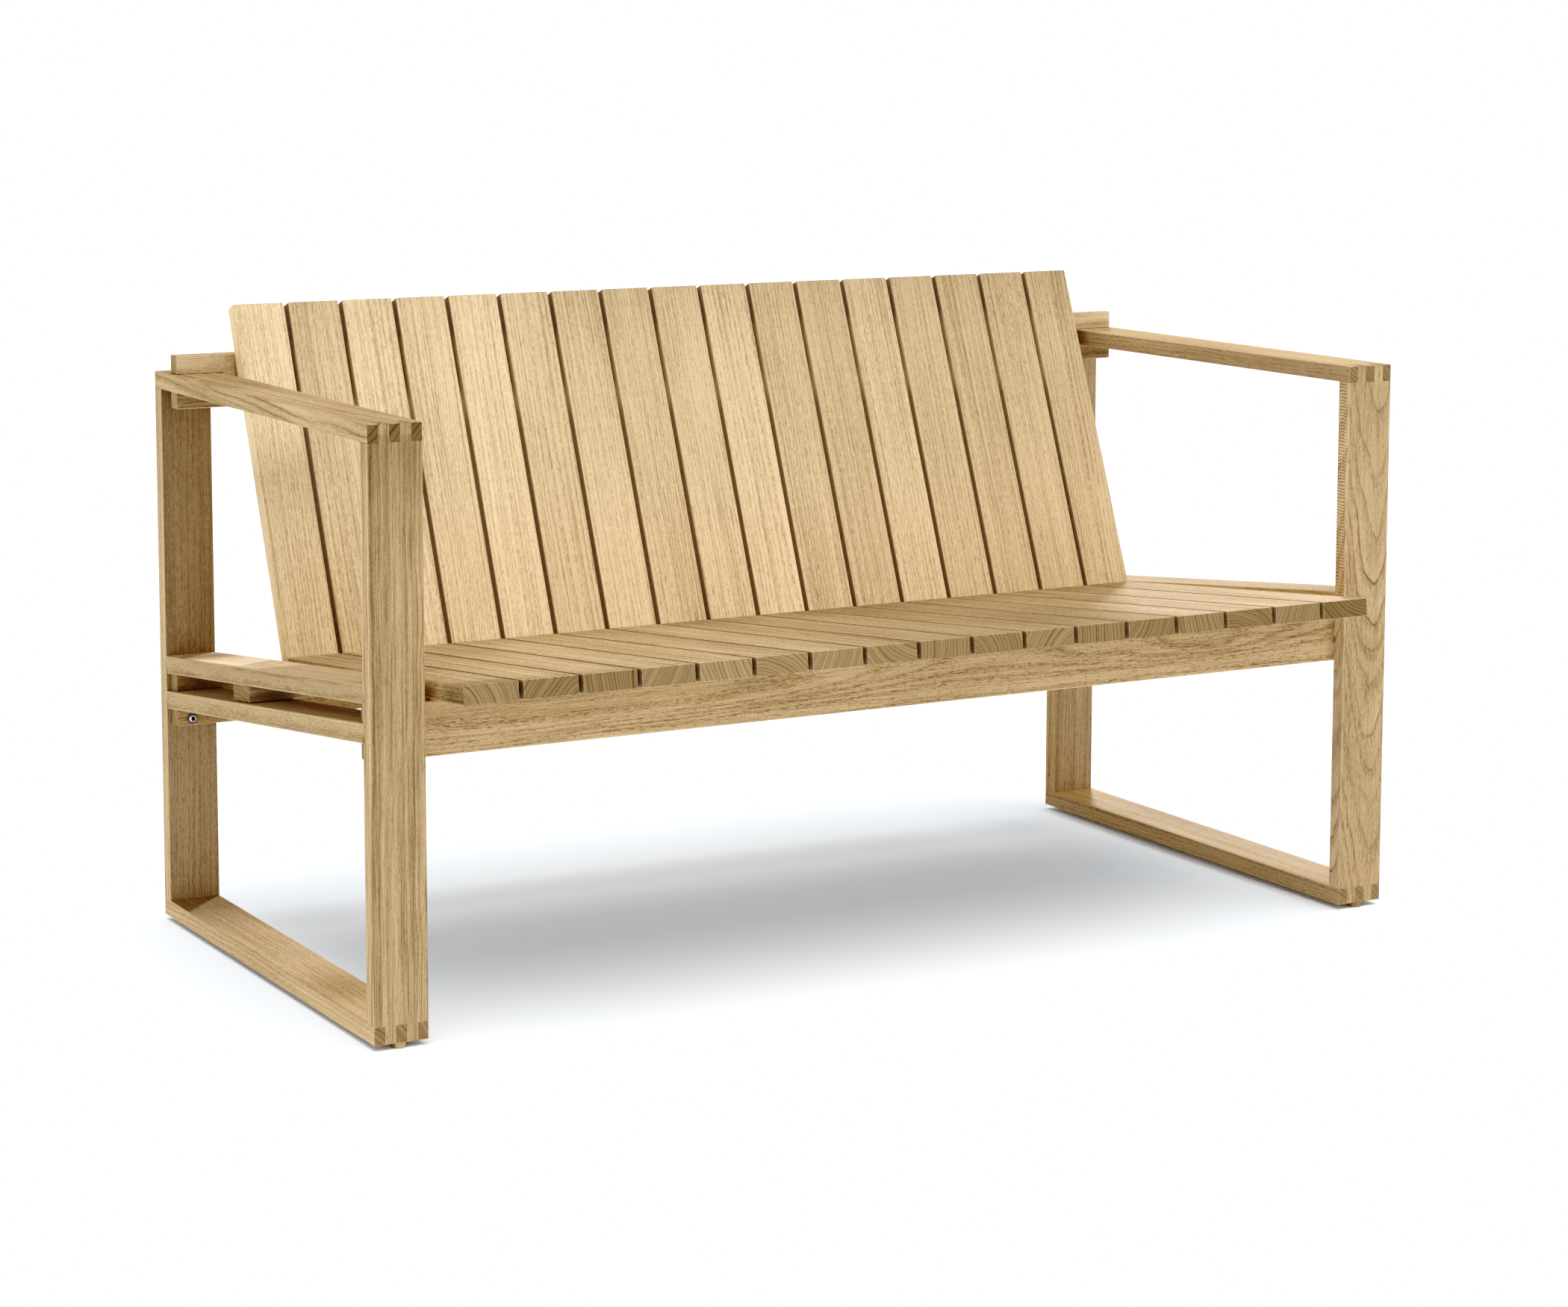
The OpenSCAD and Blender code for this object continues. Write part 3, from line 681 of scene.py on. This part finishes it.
def put_slats():
    c, sn = math.cos(SEAT_S), math.sin(SEAT_S)
    for i in range(N_SLAT):
        xc = -ROW + SLAT_W / 2 + i * PITCH
        # seat board: local X to the rear, Z out of the seat, Y to the left
        front = -OVERHANG / c
        slack = END_SLACK / math.cos(LEAN)
        out = [(front, -SEAT_T / 2), (back_at(-SEAT_T) - slack, -SEAT_T / 2), (back_at(0) - slack, SEAT_T / 2), (front, SEAT_T / 2)]
        org = Vector((xc, Y_F, SEAT_H)) + Vector((0, sn, c)) * (-SEAT_T / 2)

        def width(p, q):
            return 1.2 if abs(p.x - q.x) > 60 else 1.0

        prism("seat_slat_%02d_wood" % (i + 1), "seat_slat_%02d" % (i + 1), out, "y", -SLAT_W / 2, SLAT_W / 2,
              frame_at(org, (0, c, -sn), (-1, 0, 0)), wood("seat_teak_%02d" % (i + 1), 100 + 7 * i, half=(SLAT_W / 2000, SEAT_T / 2000), **SEAT_LOOKS[i]), width)
        # back board: local X up the board, Z to the front
        cb, sb = math.cos(BACK_S), math.sin(BACK_S)
        org = Vector((xc, Y_F + BACK_TOP_Y, BACK_TOP)) + Vector((0, cb, -sb)) * (BACK_T / 2)
        out = [(-BACK_L, -SLAT_W / 2), (0, -SLAT_W / 2), (0, SLAT_W / 2), (-BACK_L, SLAT_W / 2)]
        prism("back_slat_%02d_wood" % (i + 1), "back_slat_%02d" % (i + 1), out, "z", -BACK_T / 2, BACK_T / 2,
              frame_at(org, (0, sb, cb), (1, 0, 0)), wood("back_teak_%02d" % (i + 1), 300 + 11 * i, half=(SLAT_W / 2000, BACK_T / 2000), **BACK_LOOKS[i]),
              lambda p, q: 1.8 if abs(p.x - q.x) > 60 else 1.5)


def lathe(profile, n=48):
    """Closed surface of revolution about Z from (radius, height) pairs in mm, first and last on the axis."""
    verts, faces, rings = [], [], []
    for r, z in profile:
        if r < 1e-6:
            rings.append([len(verts)])
            verts.append((0.0, 0.0, z * 0.001))
        else:
            rings.append(list(range(len(verts), len(verts) + n)))
            for k in range(n):
                a = 2 * math.pi * k / n
                verts.append((r * math.cos(a) * 0.001, r * math.sin(a) * 0.001, z * 0.001))
    for a, b in zip(rings, rings[1:]):
        for k in range(n):
            j = (k + 1) % n
            if len(a) == 1:
                faces.append((a[0], b[k], b[j]))
            elif len(b) == 1:
                faces.append((a[k], b[0], a[j]))
            else:
                faces.append((a[k], b[k], b[j], a[j]))
    return verts, faces


def joined(name, parts, material):
    """parts is [(verts, faces, Matrix)]; one mesh object."""
    bm = bmesh.new()
    for verts, faces, m in parts:
        vs = [bm.verts.new(m @ Vector(v)) for v in verts]
        for f in faces:
            bm.faces.new([vs[i] for i in f])
    bmesh.ops.recalc_face_normals(bm, faces=bm.faces)
    me = bpy.data.meshes.new(name)
    bm.to_mesh(me)
    bm.free()
    me.shade_smooth()
    ob = bpy.data.objects.new(name, me)
    bpy.context.scene.collection.objects.link(ob)
    ob.data.materials.append(material)
    return ob


def arc(cx, cz, r, a0, a1, n):
    return [(cx + r * math.cos(math.radians(a0 + (a1 - a0) * k / n)), cz + r * math.sin(math.radians(a0 + (a1 - a0) * k / n))) for k in range(n + 1)]


def put_small():
    # feet: turned plugs with an eased lower rim
    R = 8.5
    prof = [(0, 0), (R - 1.2, 0)] + arc(R - 1.2, 1.2, 1.2, -90, 0, 4) + [(R, FOOT_H - 0.05), (0, FOOT_H - 0.05)]
    v, f = lathe(prof, 64)
    turn = Matrix(((0, 0, 1, 0), (0, 1, 0, 0), (-1, 0, 0, 0), (0, 0, 0, 1)))
    parts = []
    for x in (-(HALF_W - FRAME_W / 2), HALF_W - FRAME_W / 2):
        for y in (Y_F + R + 0.5, Y_R - R - 0.5):
            parts.append((v, f, Matrix.Translation((x * 0.001, y * 0.001, 0))))
    ob = joined("feet_wood", parts, wood("feet_teak", 91, tone=0.9, base=0.6, pith=(0.01, -0.05), lines=0.6, pores=0.8, wear_and_highlight=0))
    smooth_by_angle(ob)
    finish_piece(ob, "feet", Matrix.Identity(4), bevel=False, smooth=False)

    # button-head bolts with a hex socket
    metal, shaded = steel("fixing_steel", 0.5), socket_shade("fixing_socket_shade")
    dome = [(0, 3.2), (3.2, 3.2)] + [(3.6, 3.1), (4.1, 2.75), (4.5, 2.25), (4.8, 1.6), (5.05, 1.0), (5.2, 0.5), (5.2, 0.1), (5.1, 0.0), (3.0, 0.0), (3.0, -36.1), (2.4, -36.2), (0, -36.2)]
    heads = []
    for xs in (-1, 1):
        x = xs * (HALF_W - 25.7)
        heads.append((x, Y_F + FRAME_T + RAIL_T, 320.8 + 10.2, 1))
        heads.append((x, Y_R - FRAME_T - RAIL_T, 254.3 + 9.2, -1))
    v, f = lathe(dome, 64)
    hexr = 3.1
    hexv, hexf = [], []
    for z in (0.4, 5.0):
        for k in range(6):
            a = math.radians(60 * k + 12)
            hexv.append((hexr * math.cos(a) * 0.001, hexr * math.sin(a) * 0.001, z * 0.001))
    hexf = [tuple(range(5, -1, -1)), tuple(range(6, 12))] + [(k, (k + 1) % 6, 6 + (k + 1) % 6, 6 + k) for k in range(6)]
    bolts, tools, rings = [], [], []
    wt = 1.2
    wprof = [(3.3, 0.15), (3.4, 0.0), (6.6, 0.0), (6.75, 0.15), (6.75, wt - 0.3), (6.5, wt), (3.4, wt), (3.3, wt - 0.15)]
    for x, y, z, d in heads:
        # local Z to the side the head is on
        rot = Matrix(((1, 0, 0), (0, 0, d), (0, -d, 0))).to_4x4()
        at = Matrix.Translation((x * 0.001, y * 0.001, z * 0.001)) @ rot
        up = Matrix.Translation((0, 0, wt * 0.001))
        bolts.append((v, f, at @ up))
        tools.append((hexv, hexf, at @ up))
        # washer as a closed ring
        n = 64
        wv, wf = [], []
        for k in range(n):
            a = 2 * math.pi * k / n
            for r, h in wprof:
                wv.append((r * math.cos(a) * 0.001, r * math.sin(a) * 0.001, h * 0.001))
        m = len(wprof)
        for k in range(n):
            for j in range(m):
                k2, j2 = (k + 1) % n, (j + 1) % m
                wf.append((k * m + j, k2 * m + j, k2 * m + j2, k * m + j2))
        rings.append((wv, wf, at))
    ob = joined("rail_bolts_steel", bolts, metal)
    # the sockets' faces take the cutter's near-black painted shade
    cut = joined("socket_tool", tools, shaded)
    mod = ob.modifiers.new("Socket", "BOOLEAN")
    mod.operation, mod.solver, mod.object, mod.material_mode = "DIFFERENCE", "EXACT", cut, "TRANSFER"
    dg = bpy.context.evaluated_depsgraph_get()
    new = bpy.data.meshes.new_from_object(ob.evaluated_get(dg), depsgraph=dg)
    ob.modifiers.clear()
    ob.data = new
    bpy.data.objects.remove(cut)
    smooth_by_angle(ob)
    finish_piece(ob, "rail_bolts", Matrix.Identity(4), bevel=False, smooth=False)
    ob = joined("bolt_washers_steel", rings, steel("washer_steel", 0.05))
    smooth_by_angle(ob)
    finish_piece(ob, "bolt_washers", Matrix.Identity(4), bevel=False, smooth=False)


def smooth_by_angle(ob, angle=35):
    me = ob.data
    me.shade_smooth()
    bm = bmesh.new()
    bm.from_mesh(me)
    for e in bm.edges:
        e.smooth = len(e.link_faces) == 2 and e.calc_face_angle(3.2) < math.radians(angle)
    bm.to_mesh(me)
    bm.free()


# ---------------------------------------------------------------- looks of each board
QUARTER = dict(pith=(0.16, -0.03), ring=0.0040, slope=0.002)
RIFT = dict(pith=(0.09, -0.08), ring=0.0042, slope=0.006)

# face shading and along values here are painted light and shade: faces in shade are darker, such as the rear posts'
# fronts, faces turned to the rear, parts under the arms and the slot between the left side boards, and the key light's
# patch on the left upper side board's top is lighter
SIDE_LOOKS = {
    "left": {
        "arm": dict(base=0.34, bands=0.25, lines=1.25, pores=0.6, pith=(0.075, 0.062), ring=0.0068, slope=0.035, wander=0.014, waver=2.0, shine=0.0, shade=([(0.02, 0.80), (0.1, 0.84), (0.2, 0.90), (0.3, 0.70), (0.4, 0.66), (0.5, 0.58), (0.6, 0.70)], 1, 0.95, 0.8), ends=0.5),
        "runner": dict(base=0.38, bands=0.2, lines=0.5, tone=1.1, dots=0.4, ends=0.84, shade=(1, 1, [(0.1, 1.3), (0.25, 1.2), (0.35, 1.05), (0.45, 1.0), (0.50, 0.8), (0.60, 0.38)], 1), **RIFT),
        "front_post": dict(ends=1.5, shine=0.015, tint=(1, 0.98, 0.975), base=0.40, bands=0.36, lines=1.1, streaks=1.1, hairs=0.6, pores=0.5, dots=0.2, pith=(0.14, -0.10), ring=0.0062, slope=0.006, wander=0.010, waver=1.8, wear_and_highlight=0.08, tone=0.90,
                           shade=(1, [(0.5, 1.08), (0.62, 1.4)], 1, 0.76), along=[(0.0, 1.15), (0.08, 1.04), (0.25, 0.98), (0.5, 0.98), (0.60, 0.78), (0.66, 0.62), (0.676, 0.62), (0.68, 0.80)]),
        "rear_post": dict(ends=1.4, base=0.42, bands=0.12, lines=0.4, streaks=0.3, pores=0.6, tone=0.82, tint=(3, (1, 1.05, 1.2)),
                          shade=(0.8, [(0.0, 1.28), (0.2, 1.2), (0.3, 1.1), (0.45, 1.12), (0.65, 0.95)], 0.72, [(0.0, 0.64), (0.1, 0.74), (0.2, 0.70), (0.3, 0.59), (0.38, 0.54), (0.6, 0.52), (0.66, 0.46)]), **RIFT),
        "upper": dict(base=0.40, bands=0.25, tone=0.85, dots=0.4, tint=(2, (1, 1.045, 1.14)), shade=(0.70, 1, [(0.2, 1.5), (0.33, 1.5), (0.36, 2.3), (0.5, 2.2), (0.54, 1.8), (0.574, 0.9), (0.6, 0.58), (0.64, 1.05)], 0.6), **QUARTER),
        "lower": dict(base=0.40, bands=0.25, tone=0.85, dots=0.4, shine=0.0, tint=(2, (1, 1.08, 1.25)), shade=(0.82, 1, [(0.36, 1.1), (0.41, 0.9), (0.54, 1.0), (0.6, 0.9)], 1), **QUARTER),
    },
    "right": {
        "arm": dict(base=0.34, bands=0.2, dots=0.4, shine=0.0, tint=(0, (1, 1.05, 1.16)), shade=([(0.05, 0.54), (0.15, 0.58), (0.25, 0.67), (0.42, 0.75), (0.5, 0.72), (0.55, 0.6), (0.6, 0.45)], 1, 1.14, 1), ends=0.72, **RIFT),
        "runner": dict(base=0.34, bands=0.2, dots=0.4, tint=(0, (1, 1.04, 1.15)), shade=(0.6, 1, [(0.1, 0.97), (0.3, 0.87), (0.5, 0.76), (0.62, 0.9)], 1), ends=0.95, **RIFT),
        "front_post": dict(ends=1.5, shine=0.015, base=0.36, bands=0.22, lines=1.3, crisp=True, streaks=0.35, hairs=0.4, pores=0.7, ripple=[(0.38, 0.0), (0.42, 1.0)], tone=0.755, tint=[(1, 0.97, 0.965), (1, (1, 1.07, 1.19))],
                           shade=(1, [(0.36, 1.35), (0.42, 1.6), (0.6, 1.65), (0.66, 1.35)], 1, 1), pith=(0.012, 0.018), ring=0.0074, slope=-0.135, wander=0.010, waver=2.2),
        "rear_post": dict(ends=1.4, base=0.5, bands=0.2, tone=0.82, tint=(3, (1, 1.03, 1.15)), shade=(1, 1, 0.72, 0.8), **RIFT),
        "upper": dict(base=0.36, bands=0.3, shine=0.01, shade=(1, 1, 1, 0.5), **QUARTER),
        "lower": dict(base=0.4, bands=0.3, shade=(1, 1, 0.6, 1), **QUARTER),
    },
}
# face shading and heights here are painted shade: the rear rail's and the bearer's front faces under the seat, the rear
# faces of the rear and upper rails, and the lower part of the upper rail's front face, where the arms shade it
RAIL_LOOKS = {
    "front": dict(half=(0.0105, 0.033), tone=0.885, shine=0.018, tint=(1, 0.965, 0.955), along=[(-0.5, 1.0), (0.0, 0.96), (0.5, 1.03)], base=0.42, pores=0.95, bands=0.12, lines=0.4, streaks=0.35, hairs=0.5, dots=0.2, pith=(-0.10, 0.02), ring=0.0036, slope=0.005, wander=0.006, waver=0.5),
    "rear": dict(half=(0.0105, 0.033), base=0.45, pith=(-0.06, 0.02), shade=(0.66, 0.6, 1, 1)),
    "upper": dict(half=(0.0105, 0.033), base=0.42, pith=(-0.07, 0.03), tone=1.08, dots=0.4, tint=(1, (1, 1.05, 1.15)), shade=(0.62, 1, 1, 1), heights=[(-0.006, 0.46), (0.004, 1.0)]),
    "wedge": dict(half=(1, 1), base=0.5, wear_and_highlight=0),
    "bearer": dict(half=(0.026, 0.0107), base=0.4, tone=0.85, tint=(1, (1, 1.05, 1.2)), shade=(1, 0.75, 1, 1)),
}


def sides(i, left_is_plus):
    """Which faces of board i stand in a gap, at its local +Y and -Y."""
    left, right = int(i > 0), int(i < N_SLAT - 1)
    return (left, right) if left_is_plus else (right, left)


# place of the pith and ring width in turn: end patterns and flames differ from board to board
SEAT_PITH = [(0.05, -0.02), (-0.06, -0.05), (0.16, 0.0), (0.09, 0.05), (-0.12, 0.04), (0.03, -0.05), (0.14, 0.06), (-0.05, 0.06), (0.2, 0.02)]
# each seat board's tone, with painted light added: the left boards, and the last two in the key light's patch, are made
# brighter
SEAT_TONE_AND_LIGHT = [1.2, 1.5, 1.6, 1.6, 1.6, 1.3, 1.45, 1.15, 1.15, 1.15, 1.1, 1.05, 1.08, 1.16, 1.16, 1.27, 1.27]
END_TONE = [0.93, 0.75, 0.77, 0.92, 1.12, 0.98, 1.03, 0.95, 0.89, 0.82, 0.92, 0.80, 0.77, 0.85, 0.73, 0.85, 0.60]
# the rear ends lie in the back's shade, and the first boards' in the left arm's and post's
SEAT_ALONG = {
    0: [(-0.055, 0.70), (-0.035, 0.80), (-0.01, 1.15), (0.10, 1.12), (0.15, 0.84), (0.2, 1.0), (0.25, 1.0), (0.3, 0.87), (0.42, 0.84)],
    1: [(-0.055, 0.82), (-0.01, 1.12), (0.05, 1.1), (0.13, 1.0), (0.2, 0.93), (0.3, 0.82), (0.36, 0.80), (0.42, 0.94)],
    2: [(-0.055, 0.75), (-0.01, 1.02), (0.2, 1.0), (0.3, 0.77), (0.42, 0.76)],
    3: [(0.3, 0.98), (0.36, 0.85), (0.42, 0.64)],
    4: [(0.3, 1.0), (0.36, 0.92), (0.42, 0.78)],
    7: [(0.1, 1.03), (0.3, 1.08), (0.36, 1.02), (0.42, 0.86)],
    10: [(0.0, 1.04), (0.15, 1.0), (0.25, 0.94), (0.32, 0.82), (0.42, 0.80)],
}
# painted shade on the boards' undersides, their gap faces and the first board's left side beside the left post, and
# painted light and shade along each board
SEAT_LOOKS = [
    dict(base=0.40, bands=0.35, lines=0.6, dots=0.6, pores=0.85, streaks=0.5, shine=0.015 if i < 12 else 0.004, ring=(0.0038, 0.0050, 0.0044)[i % 3], slope=(0.004, 0.015, 0.008, 0.03)[i % 4], wander=0.006, tint=(1, 1.035, 1.07),
         pith=SEAT_PITH[i % 9], tone=SEAT_TONE_AND_LIGHT[i], ends=END_TONE[i] / SEAT_TONE_AND_LIGHT[i] / SEAT_ALONG.get(i, [(0, 1.0)])[0][1], gap_sides=sides(i, True), gap_shade_steps=[(-0.062, 1.0), (-0.045, 0.32)], along=SEAT_ALONG.get(i, [(0.34, 1.0), (0.42, 0.84)]),
         shade=([(-0.055, 0.46), (-0.035, 0.40), (-0.015, 0.40), (0.01, 0.75)] if i == 0 else 1, 1, 1, 0.55))
    for i in range(N_SLAT)
]
BACK_PITH = [(0.15, -0.03), (-0.14, -0.04), (0.07, -0.08), (0.18, 0.0), (-0.09, -0.06), (0.12, 0.05), (-0.2, 0.01)]
BACK_TONE = [1.01, 1.10, 1.42, 1.33, 1.47, 1.20, 1.22, 1.13, 1.17, 1.27, 1.05, 0.99, 1.19, 1.01, 0.98, 1.03, 0.98]
# painted shade in the back boards' gaps, lighter where the upper back rail behind them already shades them
GAP_SHADE_STEPS = [(-0.46, 1.5), (-0.17, 1.5), (-0.145, 2.6), (-0.07, 2.6), (-0.045, 1.2)]
BACK_ALONG = [[(-0.47, 1.35), (-0.3, 1.1), (-0.22, 0.88), (-0.14, 1.5), (0.0, 1.4)], [(-0.47, 1.15), (-0.22, 1.0), (-0.1, 1.0), (0.0, 0.88)], [(-0.47, 1.27), (-0.35, 1.2), (-0.22, 1.03), (-0.1, 0.92), (0.0, 0.76)]]
# painted shade on each board's rear face and its gap faces, and painted light and shade along the boards
BACK_LOOKS = [
    dict(base=0.12, bands=0.2, lines=0.6, streaks=0.95, hairs=0.42, pores=0.72, dots=1.0, ring=(0.0046, 0.0058, 0.0052, 0.0042)[i % 4], slope=(0.002, 0.012, -0.006, 0.004, -0.015)[i % 5], tint=(1, 1.03, 1.06),
         pith=BACK_PITH[i % 7], tone=BACK_TONE[i], gap_sides=sides(i, False), gap_shade_steps=GAP_SHADE_STEPS, along=BACK_ALONG[(i > 0) + (i > 5)], shade=(1, 1, 0.7, 1))
    for i in range(N_SLAT)
]

put_side("left", -1)
put_side("right", 1)
put_rails()
put_slats()
put_small()

# ---------------------------------------------------------------- floor, light, camera
SKY, KEY, OVER, LIFT = 0.245, 1.15, 1.21, 0.36
scene = bpy.context.scene
me = bpy.data.meshes.new("floor")
S = 14.0
me.from_pydata([(-S, -S, 0), (S, -S, 0), (S, S, 0), (-S, S, 0)], [], [(0, 1, 2, 3)])
floor = bpy.data.objects.new("floor", me)
scene.collection.objects.link(floor)
fm = bpy.data.materials.new("floor_paper")
fm.use_nodes = True
fb = fm.node_tree.nodes["Principled BSDF"]
fb.inputs["Base Color"].default_value = (0.85, 0.88, 0.925, 1)
fb.inputs["Roughness"].default_value = 0.9
fb.inputs["Specular IOR Level"].default_value = 0.1
me.materials.append(fm)

world = bpy.data.worlds.new("studio")
scene.world = world
world.use_nodes = True
wg = Graph(world.node_tree)
sky = wg.new("ShaderNodeSeparateXYZ")
wg.put(sky.inputs[0], wg.new("ShaderNodeTexCoord").outputs["Generated"])
bg = world.node_tree.nodes["Background"]
wg.put(bg.inputs[0], wg.mix(wg.step(sky.outputs[2], 0.20, 0.50), (1, 1, 1, 1), (SKY, SKY, SKY, 1)))
bg.inputs[1].default_value = 1.0


def area(name, azimuth, elevation, distance, size, level, target=(0, 0, 0.4), colour=(1, 1, 1)):
    """A soft box. level is the irradiance over pi that it gives a surface facing it at the target."""
    a, e = math.radians(azimuth), math.radians(elevation)
    loc = Vector(target) + Vector((math.sin(a) * math.cos(e), -math.cos(a) * math.cos(e), math.sin(e))) * distance
    d = bpy.data.lights.new(name, "AREA")
    d.shape = "RECTANGLE"
    d.size, d.size_y = size
    d.energy = level * math.pi * math.pi * distance * distance
    d.color = colour
    o = bpy.data.objects.new(name, d)
    scene.collection.objects.link(o)
    o.location = loc
    o.rotation_euler = (Vector(target) - loc).to_track_quat("-Z", "Y").to_euler()
    return o


key = area("key", 143, 20.5, 5.33, (0.5, 0.5), KEY)
fills = [
    area("left", 272, 20, 2.9, (1.6, 1.2), 0.148),
    area("left_high", 310, 60, 3.2, (1.6, 1.4), 0.115),
    area("front", 350, 42, 3.4, (1.8, 1.4), 0.08),
    area("front_right_low", 35, 25, 3.6, (1.8, 1.2), 0.114),
    area("front_right_high", 45, 50, 3.4, (1.8, 1.4), 0.235),
]
sun = bpy.data.lights.new("overhead", "SUN")
sun.energy = OVER * math.pi
sun.angle = math.radians(64)
sun.color = (1.0, 0.965, 0.905)
over = bpy.data.objects.new("overhead", sun)
scene.collection.objects.link(over)
over.rotation_euler = (math.radians(14), 0, 0)
# light that the white room sends back under the bench
back = bpy.data.lights.new("paper_lift", "SUN")
back.energy, back.angle, back.color = LIFT * math.pi, math.radians(120), (0.40, 0.74, 1.0)
lift = bpy.data.objects.new("paper_lift", back)
scene.collection.objects.link(lift)
# the soft boxes light the bench alone, and the overhead ones the paper under it
on_bench, on_floor = bpy.data.collections.new("lit_bench"), bpy.data.collections.new("lit_floor")
for ob in scene.objects:
    if ob.type == "MESH" and ob is not floor:
        on_bench.objects.link(ob)
on_floor.objects.link(floor)
for lamp in fills:
    lamp.light_linking.receiver_collection = on_bench
# the key light's grazing streak through the slot between the left side boards is left out
by_key = bpy.data.collections.new("lit_by_key")
for ob in on_bench.objects:
    if ob.name != "left_lower_side_board_wood":
        by_key.objects.link(ob)
key.light_linking.receiver_collection = by_key
for lamp in (over, lift):
    lamp.light_linking.receiver_collection = on_floor
lift.light_linking.blocker_collection = on_floor

cam_d = bpy.data.cameras.new("camera")
cam = bpy.data.objects.new("camera", cam_d)
scene.collection.objects.link(cam)
scene.camera = cam
right, up, fwd = Vector((0.88143, -0.47232, -0.00120)), Vector((0.05903, 0.10764, 0.99244)), Vector((0.46862, 0.87483, -0.12276))
fwd.normalize()
right = (right - fwd * right.dot(fwd)).normalized()
up = right.cross(fwd)
m = Matrix((right, up, -fwd)).transposed().to_4x4()
m.translation = Vector((-2.20834, -3.57623 + Y_F * 0.001, 1.13316 + 0.0067))
cam.matrix_world = m
cam_d.sensor_fit = "HORIZONTAL"
cam_d.sensor_width = 36.0
cam_d.lens = 4820.355 / 2100 * 36
cam_d.shift_x = (1050 - 935.785) / 2100
cam_d.shift_y = -(875 - 612.728) / 2100
cam_d.clip_end = 60

scene.view_settings.view_transform = "Standard"
scene.view_settings.look = "None"
# a photographic tone curve: equal steps of exposure give nearly equal steps of tone, with white kept
scene.view_settings.use_curve_mapping = True
tones = scene.view_settings.curve_mapping
tones.extend = "HORIZONTAL"


def tone_curve(x):
    code = max(0.0, 1 + 0.1765 * math.log2(x))
    return code / 12.92 if code <= 0.04045 else ((code + 0.055) / 1.055) ** 2.4


curve = tones.curves[3]
for x in (0.02, 0.04, 0.07, 0.1, 0.15, 0.22, 0.32, 0.45, 0.6, 0.8):
    curve.points.new(x, max(tone_curve(x), 0.3 * x))
curve.points[0].location = (0, 0)
curve.points[len(curve.points) - 1].location = (1, 1)
tones.update()
